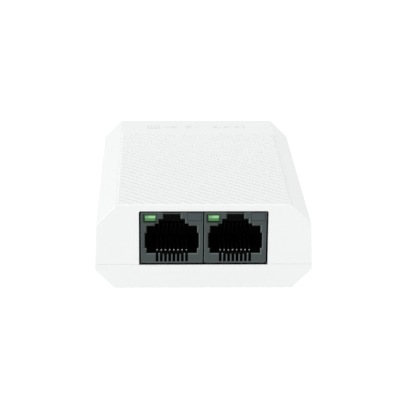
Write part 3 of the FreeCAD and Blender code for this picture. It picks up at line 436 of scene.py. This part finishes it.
def jack_plastic():
    """Slate thermoplastic: grey faces with painted highlights and shade on their edges, a painted green glow
    round the indicators, and painted shade near black inside the cavities.
    """
    shader = Shader("jack_black", Specular_IOR_Level=0.12)
    flow = shader.noise(2.5 * MM, 4.0, 0.6, shader.scaled(1.0, 1.0, 2.5))
    face = shader.blend(flow, JACK_COLOUR, shade(JACK_COLOUR, 1.14))
    at_front = shader.math("LESS_THAN", shader.axis("Y"), 0.0)
    face = shader.blend(at_front, jack_rim(shader, face, 0.0), jack_front(shader, face))
    # painted shade: the plastic goes near black with depth inside the cavities
    across = shader.math("ABSOLUTE", shader.axis("Y"))
    inside = shader.spread(across, 1.0, 0.0, JACK_DARK, JACK_LIGHT, smooth=True)
    shader.colour(shader.blend(inside, face, CAVITY_SHADE_COLOUR))
    grain = shader.noise(0.09 * MM, 2.0, 0.6)
    shader.gloss(shader.spread(grain, 0.42, 0.62))
    shader.relief(grain, 0.006 * MM, 0.5, bevel=0.05 * MM)
    return shader.material


def plug_plastic():
    """The bluish grey filler in the second indicator bay, with a painted highlight along its edges."""
    shader = Shader("plug_slate", Specular_IOR_Level=0.35)
    flow = shader.noise(1.2 * MM, 4.0, 0.6, shader.scaled(1.0, 1.0, 2.0))
    face = shader.blend(flow, PLUG_COLOUR, shade(PLUG_COLOUR, 1.12))
    # painted highlight along the edges
    edge = shader.math("MULTIPLY", shader.edge(0.15 * MM), 0.4)
    shader.colour(shader.blend(edge, face, shade(PLUG_COLOUR, 1.5)))
    grain = shader.noise(0.09 * MM, 2.0, 0.6)
    shader.gloss(shader.spread(grain, 0.4, 0.58))
    shader.relief(grain, 0.005 * MM, 0.5)
    return shader.material


def insert_plastic():
    """The carrier at the back of each jack, black and a little glossier."""
    shader = Shader("insert_black", Specular_IOR_Level=0.12)
    flow = shader.noise(1.5 * MM, 4.0)
    shader.colour(shader.blend(flow, (0.003, 0.003, 0.0033), (0.006, 0.006, 0.0065)))
    grain = shader.noise(0.08 * MM)
    shader.gloss(shader.spread(grain, 0.45, 0.6))
    shader.relief(grain, 0.004 * MM, 0.4)
    return shader.material


def metal(name, colour, worn, rough, streak=(1.0, 1.0, 1.0), feature=0.12 * MM):
    """Plated metal with fine drawing streaks and duller patches."""
    shader = Shader(name, Metallic=1.0)
    lines = shader.noise(feature, 4.0, 0.6, shader.scaled(*streak))
    patches = shader.noise(1.6 * MM, 3.0)
    shader.colour(shader.blend(shader.spread(patches, 0.0, 1.0, 0.35, 0.75), colour, worn))
    shader.gloss(shader.spread(shader.math("ADD", lines, patches), rough[0], rough[1], 0.6, 1.4))
    shader.relief(lines, 0.003 * MM, 0.5)
    return shader.material


def contact_plating():
    """Pale plated wire, painted near black as shade except on a painted highlight where its bend faces up and
    forward.
    """
    shader = Shader("contact_gold", Metallic=0.35, Specular_IOR_Level=0.1)
    height = shader.math("SUBTRACT", shader.axis("Z"), BEND_Z)
    forward = shader.math("SUBTRACT", BEND_Y, shader.axis("Y"))
    angle = shader.math("ARCTAN2", height, forward)
    off_crest = shader.math("ABSOLUTE", shader.math("SUBTRACT", angle, CREST_ANGLE))
    crest_highlight = shader.spread(off_crest, 1.0, 0.0, CREST_SPAN / 2, CREST_SPAN, smooth=True)
    distance = shader.math("SQRT", shader.math("ADD", shader.math("POWER", height, 2.0),
                                               shader.math("POWER", forward, 2.0)))
    on_bend = shader.math("LESS_THAN", distance, BEND_REACH)
    ridge = shader.spread(shader.math("ABSOLUTE", shader.facing("X")), 1.0, 0.0, 0.45, 0.85)
    on_bend = shader.math("MULTIPLY", on_bend, ridge)
    lines = shader.noise(0.12 * MM, 4.0, 0.6, shader.scaled(1.0, 0.08, 1.0))
    plated = shader.blend(lines, (0.98, 0.97, 0.95), (0.88, 0.86, 0.83))
    # painted highlight on the crest of the bend, painted shade near black everywhere else
    shader.colour(shader.blend(shader.math("MULTIPLY", crest_highlight, on_bend), (0.008, 0.0075, 0.007), plated))
    shader.gloss(shader.spread(lines, 0.3, 0.5))
    shader.relief(lines, 0.003 * MM, 0.5)
    return shader.material


def led_epoxy():
    """Green tinted epoxy with a painted glow: a bright upper band that fades to the left, over a dim lower
    one, and painted shade on the sides.
    """
    shader = Shader("led_green", Roughness=0.3, Specular_IOR_Level=0.4)
    height = shader.axis("Z")
    # painted glow: a bright upper band that fades to the left, over a dim lower band
    upper = shader.spread(height, 0.0, 1.0, LED_MIDDLE + UPPER_BAND[0], LED_MIDDLE + UPPER_BAND[1],
                          smooth=True)
    lower = shader.spread(height, 1.0, 0.0, LED_MIDDLE + LOWER_BAND[0], LED_MIDDLE + LOWER_BAND[1],
                          smooth=True)
    along = shader.math("MODULO", shader.math("SUBTRACT", shader.axis("X"), led_low.x), JACK_PITCH)
    glow_fade = shader.spread(along, 0.5, 1.0, LAMP_SPAN[0], LAMP_SPAN[1], smooth=True)
    mottle = shader.spread(shader.noise(0.8 * MM, 2.0), 0.85, 1.12)
    glow = shader.math("ADD", shader.math("MULTIPLY", upper, glow_fade), shader.math("MULTIPLY", lower, 0.17))
    body = shader.blend(shader.math("MULTIPLY", glow, mottle), LED_DIM, LED_BRIGHT)
    front = shader.math("ABSOLUTE", shader.facing("Y"))
    # painted shade on the sides of the lens
    shader.colour(shader.blend(shader.spread(front, 1.0, 0.0, 0.35, 0.8, smooth=True), body, LED_SIDE_SHADE))
    shader.relief(shader.noise(0.5 * MM, 2.0), 0.01 * MM, 0.3)
    return shader.material


def led_flange():
    """The indicator's own flange, in a darker green with a painted glow, and painted shade on its left and
    lower sides.
    """
    shader = Shader("led_flange", Roughness=0.4, Specular_IOR_Level=0.2)
    haze = shader.noise(0.6 * MM, 3.0)
    dark_side = led_surround(shader)[1]
    # painted glow on the flange, painted shade on its left and lower sides
    shader.colour(shader.blend(dark_side, shader.blend(haze, (0.034, 0.090, 0.045), (0.046, 0.120, 0.060)),
                               shader.blend(haze, (0.005, 0.022, 0.008), (0.008, 0.034, 0.012))))
    shader.relief(haze, 0.01 * MM, 0.3)
    return shader.material


def ink():
    """Pad-printed grey ink, a little uneven where it was pressed on."""
    shader = Shader("mark_grey", Specular_IOR_Level=0.3)
    press = shader.noise(0.5 * MM, 4.0, 0.7)
    shader.colour(shader.blend(press, (0.72, 0.73, 0.73), (0.79, 0.80, 0.80)))
    shader.gloss(shader.spread(press, 0.45, 0.65))
    shader.relief(press, 0.004 * MM, 0.4)
    return shader.material


def rubber():
    """Soft grey silicone rubber with dust in its pores."""
    shader = Shader("foot_rubber", Specular_IOR_Level=0.3)
    pores = shader.cells(0.22 * MM)
    dust = shader.noise(1.3 * MM, 4.0, 0.65)
    shader.colour(shader.blend(dust, (0.21, 0.215, 0.22), (0.31, 0.315, 0.32)))
    shader.gloss(shader.spread(dust, 0.72, 0.9))
    shader.relief(pores, 0.015 * MM, 0.5)
    return shader.material


def film():
    """Satin silver label film."""
    shader = Shader("label_film", Metallic=0.35)
    brush = shader.noise(0.12 * MM, 4.0, 0.6, shader.scaled(0.05, 1.0, 1.0))
    shader.colour(shader.blend(brush, (0.60, 0.61, 0.62), (0.70, 0.71, 0.72)))
    shader.gloss(shader.spread(brush, 0.34, 0.5))
    shader.relief(brush, 0.003 * MM, 0.3)
    return shader.material


def laminate():
    """Green solder mask with the glass weave just visible, and painted shade near the jacks."""
    shader = Shader("board_laminate", Coat_Weight=0.35, Coat_Roughness=0.15)
    weave = shader.node("ShaderNodeTexBrick")
    weave.inputs["Scale"].default_value = 1.0 / (2.2 * MM)
    weave.inputs["Mortar Size"].default_value = 0.09
    weave.inputs["Color1"].default_value = (0, 0, 0, 1)
    weave.inputs["Color2"].default_value = (0.1, 0.1, 0.1, 1)
    weave.inputs["Mortar"].default_value = (1, 1, 1, 1)
    shader.link(shader.place, weave.inputs["Vector"])
    cloth = shader.noise(0.6 * MM, 2.0)
    base = shader.blend(cloth, (0.012, 0.10, 0.035), (0.018, 0.13, 0.045))
    from_front = shader.spread(shader.axis("Y"), 0.0, 1.0, board_low.y + BOARD_DARK,
                               board_low.y + BOARD_LIGHT)
    # painted shade: the board goes near black towards its front edge under the jacks
    base = shader.blend(from_front, (0.002, 0.010, 0.004), base)
    threads = shader.math("MULTIPLY", weave.outputs["Color"], from_front)
    shader.colour(shader.blend(threads, base, (0.03, 0.24, 0.08)))
    shader.gloss(shader.spread(cloth, 0.35, 0.5))
    shader.relief(weave.outputs["Color"], 0.02 * MM, 0.4)
    return shader.material


def speckled(name, dark, light, feature, rough, depth, **fixed):
    """A matt body with fine speckle: moulded epoxy, ferrite or fired ceramic."""
    shader = Shader(name, **fixed)
    speckle = shader.noise(feature, 5.0, 0.7)
    shader.colour(shader.blend(shader.spread(speckle, 0.0, 1.0, 0.3, 0.7), dark, light))
    shader.gloss(shader.spread(speckle, rough[0], rough[1]))
    shader.relief(speckle, depth, 0.5)
    return shader.material


finishes = {
    "case_white": case_white(),
    "mark_grey": ink(),
    "screw_steel": metal("screw_steel", (0.56, 0.57, 0.58), (0.42, 0.42, 0.44), (0.25, 0.45)),
    "foot_rubber": rubber(),
    "label_film": film(),
    "board_laminate": laminate(),
    "jack_black": jack_plastic(),
    "plug_slate": plug_plastic(),
    "insert_black": insert_plastic(),
    "contact_gold": contact_plating(),
    "led_green": led_epoxy(),
    "led_flange": led_flange(),
    "tinned_lead": metal("tinned_lead", (0.66, 0.66, 0.65), (0.50, 0.50, 0.50), (0.28, 0.48)),
    "nickel_plate": metal("nickel_plate", (0.66, 0.63, 0.58), (0.52, 0.50, 0.46), (0.2, 0.38),
                          (1.0, 0.08, 1.0)),
    "package_black": speckled("package_black", (0.012, 0.012, 0.013), (0.03, 0.03, 0.031),
                              0.15 * MM, (0.5, 0.7), 0.01 * MM, Specular_IOR_Level=0.35),
    "ferrite": speckled("ferrite", (0.03, 0.03, 0.032), (0.065, 0.065, 0.068),
                        0.25 * MM, (0.45, 0.7), 0.02 * MM),
    "fuse_body": speckled("fuse_body", (0.50, 0.46, 0.36), (0.60, 0.56, 0.45),
                          0.3 * MM, (0.3, 0.45), 0.01 * MM),
    "chip_ceramic": speckled("chip_ceramic", (0.16, 0.11, 0.07), (0.26, 0.19, 0.13),
                             0.2 * MM, (0.35, 0.55), 0.01 * MM),
    "capacitor_sleeve": speckled("capacitor_sleeve", (0.010, 0.016, 0.05), (0.016, 0.026, 0.075),
                                 0.4 * MM, (0.2, 0.32), 0.004 * MM, Coat_Weight=0.4),
    "insulation_film": speckled("insulation_film", (0.20, 0.085, 0.012), (0.27, 0.12, 0.02),
                                0.9 * MM, (0.25, 0.4), 0.01 * MM),
    "copper_enamel": metal("copper_enamel", (0.72, 0.30, 0.14), (0.56, 0.20, 0.09), (0.2, 0.34)),
    "capacitor_can": metal("capacitor_can", (0.80, 0.80, 0.81), (0.68, 0.68, 0.69), (0.25, 0.4)),
}


def finish_nodes():
    """Gives every CAD node the finish of its slot."""
    for row in frame["record"]["subparts"]:
        mesh = nodes[row["node"]].data
        mesh.materials.clear()
        mesh.materials.append(finishes[row["material_slot"]])


# ---- pieces made here ---------------------------------------------------------------------------

def piece(name, mesh_data, finish):
    """Links a bmesh as a piece that rides on the case."""
    mesh = bpy.data.meshes.new(name)
    bmesh.ops.recalc_face_normals(mesh_data, faces=mesh_data.faces)
    mesh_data.to_mesh(mesh)
    mesh_data.free()
    mesh.materials.append(finish)
    made = bpy.data.objects.new(name, mesh)
    bpy.context.scene.collection.objects.link(made)
    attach(made, CASE)
    return made


def rounded_outline(x0, x1, y0, y1, radius, steps=6):
    """Corner points of a rounded rectangle, counter-clockwise."""
    points = []
    corners = ((x1 - radius, y0 + radius, -90), (x1 - radius, y1 - radius, 0),
               (x0 + radius, y1 - radius, 90), (x0 + radius, y0 + radius, 180))
    for x, y, start in corners:
        for step in range(steps + 1):
            angle = math.radians(start + 90 * step / steps)
            points.append((x + radius * math.cos(angle), y + radius * math.sin(angle)))
    return points


def add_plate(mesh_data, outline, z0, z1):
    """A flat plate over an outline."""
    low = [mesh_data.verts.new((x, y, z0)) for x, y in outline]
    high = [mesh_data.verts.new((x, y, z1)) for x, y in outline]
    mesh_data.faces.new(low)
    mesh_data.faces.new(high)
    for index in range(len(outline)):
        after = (index + 1) % len(outline)
        mesh_data.faces.new((low[index], low[after], high[after], high[index]))


def add_ring(mesh_data, outer, inner, z0, z1):
    """A flat frame between two outlines with equal counts of points."""
    loops = []
    for outline, z in ((outer, z0), (inner, z0), (inner, z1), (outer, z1)):
        loops.append([mesh_data.verts.new((x, y, z)) for x, y in outline])
    for index in range(len(outer)):
        after = (index + 1) % len(outer)
        for first, second in zip(loops, loops[1:] + loops[:1]):
            mesh_data.faces.new((first[index], first[after], second[after], second[index]))


def join_rings(mesh_data, rings):
    """Closes a stack of rings with equal counts of points into one skin with two end faces."""
    for first, second in zip(rings, rings[1:]):
        for step in range(len(first)):
            after = (step + 1) % len(first)
            mesh_data.faces.new((first[step], first[after], second[after], second[step]))
    mesh_data.faces.new(rings[0])
    mesh_data.faces.new(rings[-1])


def add_tube(mesh_data, path, radius, sides=10):
    """A closed tube along a list of points."""
    rings = []
    for index, point in enumerate(path):
        heading = path[min(index + 1, len(path) - 1)] - path[max(index - 1, 0)]
        heading.normalize()
        side = heading.cross(Vector((0, 0, 1))).normalized()
        up = side.cross(heading)
        ring = []
        for step in range(sides):
            angle = 2 * math.pi * step / sides
            ring.append(mesh_data.verts.new(point + radius * (math.cos(angle) * side + math.sin(angle) * up)))
        rings.append(ring)
    join_rings(mesh_data, rings)


def smooth(made):
    """Smooth shading that keeps edges over 40 degrees sharp."""
    made.data.shade_smooth()
    made.data.set_sharp_from_angle(angle=math.radians(40))


def label_print():
    """A thin frame and three empty rounded fields, printed on the label underneath."""
    low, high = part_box("rating_label")
    proud = 0.012 * MM
    sunk = 0.002 * MM
    inset = 1.0 * MM
    stroke = 0.25 * MM
    field_radius = 0.5 * MM
    field_lengths = (1.0, 0.62, 0.8)
    z0 = low.z - proud
    z1 = low.z + sunk
    x0, x1, y0, y1 = low.x + inset, high.x - inset, low.y + inset, high.y - inset
    mesh_data = bmesh.new()
    add_ring(mesh_data, rounded_outline(x0, x1, y0, y1, inset),
             rounded_outline(x0 + stroke, x1 - stroke, y0 + stroke, y1 - stroke, inset - stroke), z0, z1)
    width = (x1 - x0) - 4 * inset
    height = (y1 - y0 - 5 * inset) / 4
    for row, share in enumerate(field_lengths):
        top = y1 - 2 * inset - row * (height + inset)
        outline = rounded_outline(x0 + 2 * inset, x0 + 2 * inset + share * width, top - height, top,
                                  field_radius)
        add_plate(mesh_data, outline, z0, z1)
    piece("label_print", mesh_data, finishes["mark_grey"])


def inductor_winding():
    """Enamelled copper turns in the round window of the shielded inductor."""
    low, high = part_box("power_inductor")
    centre = (low + high) / 2
    wire = 0.32 * MM
    turns = 4
    outer = 3.55 * MM
    steps = 48
    spacing = 2.1
    below_top = 0.36 * MM
    path = []
    for index in range(turns * steps + 1):
        turn = index / steps
        radius = outer - turn * wire * spacing
        angle = 2 * math.pi * turn
        path.append(Vector((centre.x + radius * math.cos(angle), centre.y + radius * math.sin(angle),
                            high.z - below_top)))
    mesh_data = bmesh.new()
    add_tube(mesh_data, path, wire)
    coil = piece("inductor_winding", mesh_data, finishes["copper_enamel"])
    smooth(coil)


def led_flanges():
    """A thin frame round each indicator, in the gap between it and the jack."""
    for side in ("left", "right"):
        low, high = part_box(side + "_led_lens")
        outer = rounded_outline(low.x - FLANGE_REACH, high.x + FLANGE_REACH,
                                low.z - FLANGE_REACH, high.z + FLANGE_REACH, 0.05 * MM)
        inner = rounded_outline(low.x - FLANGE_GAP, high.x + FLANGE_GAP,
                                low.z - FLANGE_GAP, high.z + FLANGE_GAP, 0.04 * MM)
        mesh_data = bmesh.new()
        add_ring(mesh_data, outer, inner, 0.0, FLANGE_DEPTH)
        stand = Matrix(((1, 0, 0, 0), (0, 0, 1, low.y + FLANGE_SET_BACK), (0, 1, 0, 0), (0, 0, 0, 1)))
        mesh_data.transform(stand)
        piece(side + "_led_flange", mesh_data, finishes["led_flange"])


def light_blocking_sheet():
    """A thin film that stands on the board between the jacks and the transformer, with folded ends, put in to
    block the light through the gap between the jacks.
    """
    y0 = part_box("left_led_leads")[1].y + SHEET_GAP
    y1 = y0 + SHEET_THICKNESS
    half = -jack_low.x
    z0 = board_high.z + SHEET_OVER_BOARD
    z1 = case_high.z - SHEET_BELOW_ROOF
    outline = [(-half, y0), (half, y0), (half + SHEET_FOLD, y0 - SHEET_FOLD),
               (half + SHEET_FOLD, y1 - SHEET_FOLD), (half, y1), (-half, y1),
               (-half - SHEET_FOLD, y1 - SHEET_FOLD), (-half - SHEET_FOLD, y0 - SHEET_FOLD)]
    mesh_data = bmesh.new()
    add_plate(mesh_data, outline, z0, z1)
    # a sheet put in for shade: it blocks the light that would show through the gap between the jacks
    piece("light_blocking_sheet", mesh_data, finishes["insulation_film"])


def solder_joints():
    """Concave solder fillets round the jacks' pins, under the board."""
    mesh_data = bmesh.new()
    sides = 16
    profile = ((0.85, 0.0), (0.55, 0.12), (0.38, 0.4), (0.27, 0.95), (0.12, 1.08))
    for side in ("left", "right"):
        low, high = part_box(side + "_contact_tails")
        for index in range(WIRE_COUNT):
            x = low.x + WIRE_RADIUS + index * (high.x - low.x - 2 * WIRE_RADIUS) / (WIRE_COUNT - 1)
            y = high.y - WIRE_RADIUS - (0 if index % 2 else PIN_ROW)
            rings = []
            for spread, drop in profile:
                ring = []
                for step in range(sides):
                    angle = 2 * math.pi * step / sides
                    ring.append(mesh_data.verts.new((x + spread * MM * math.cos(angle),
                                                     y + spread * MM * math.sin(angle),
                                                     board_low.z - drop * MM)))
                rings.append(ring)
            join_rings(mesh_data, rings)
    smooth(piece("solder_joints", mesh_data, finishes["tinned_lead"]))


# ---- stage --------------------------------------------------------------------------------------

def area_light(name, place, target, size, power):
    """A square soft box that faces its target."""
    data = bpy.data.lights.new(name, "AREA")
    data.shape = "SQUARE"
    data.size = size
    data.energy = power
    glow_fade = bpy.data.objects.new(name, data)
    bpy.context.scene.collection.objects.link(glow_fade)
    glow_fade.location = place
    glow_fade.rotation_euler = (Vector(target) - Vector(place)).to_track_quat("-Z", "Y").to_euler()


def stage():
    """A white, faintly glowing table in an even white surround, with the soft boxes."""
    scene = bpy.context.scene
    world = bpy.data.worlds.new("studio")
    scene.world = world
    world.use_nodes = True
    sky = world.node_tree.nodes["Background"]
    sky.inputs["Color"].default_value = (1.0, 1.0, 1.0, 1.0)
    sky.inputs["Strength"].default_value = SKY_STRENGTH

    mesh = bpy.data.meshes.new("table")
    half = TABLE_HALF
    corners = [(-half, -half, 0), (half, -half, 0), (half, half, 0), (-half, half, 0)]
    mesh.from_pydata(corners, [], [(0, 1, 2, 3)])
    table = bpy.data.objects.new("table", mesh)
    scene.collection.objects.link(table)
    paint = Shader("table_white", Roughness=0.9, Specular_IOR_Level=0.0, Emission_Strength=TABLE_GLOW)
    paint.surface.inputs["Emission Color"].default_value = (1.0, 1.0, 1.0, 1.0)
    cloud = paint.noise(300 * MM, 2.0)
    paint.colour(paint.blend(cloud, (0.40, 0.40, 0.40), (0.41, 0.41, 0.41)))
    mesh.materials.append(paint.material)

    for name, place, size, power in SOFT_BOXES:
        area_light(name, place, LIGHT_TARGET, size, power)
    scene.view_settings.view_transform = "Standard"
    scene.view_settings.look = "None"


def camera():
    """A long lens a little above the ports and to their left."""
    data = bpy.data.cameras.new("camera")
    data.sensor_width = SENSOR
    data.lens = CAMERA_LENS
    data.clip_start = CLIP_START
    data.clip_end = CLIP_END
    eye = bpy.data.objects.new("camera", data)
    bpy.context.scene.collection.objects.link(eye)
    level = Matrix.Rotation(math.radians(90) - CAMERA_PITCH, 3, "X")
    turned = Matrix.Rotation(-CAMERA_YAW, 3, "Z") @ level @ Matrix.Rotation(-CAMERA_ROLL, 3, "Z")
    eye.matrix_world = Matrix.Translation(CAMERA_PLACE) @ turned.to_4x4()
    bpy.context.scene.camera = eye


finish_nodes()
label_print()
inductor_winding()
led_flanges()
light_blocking_sheet()
solder_joints()
stage()
camera()
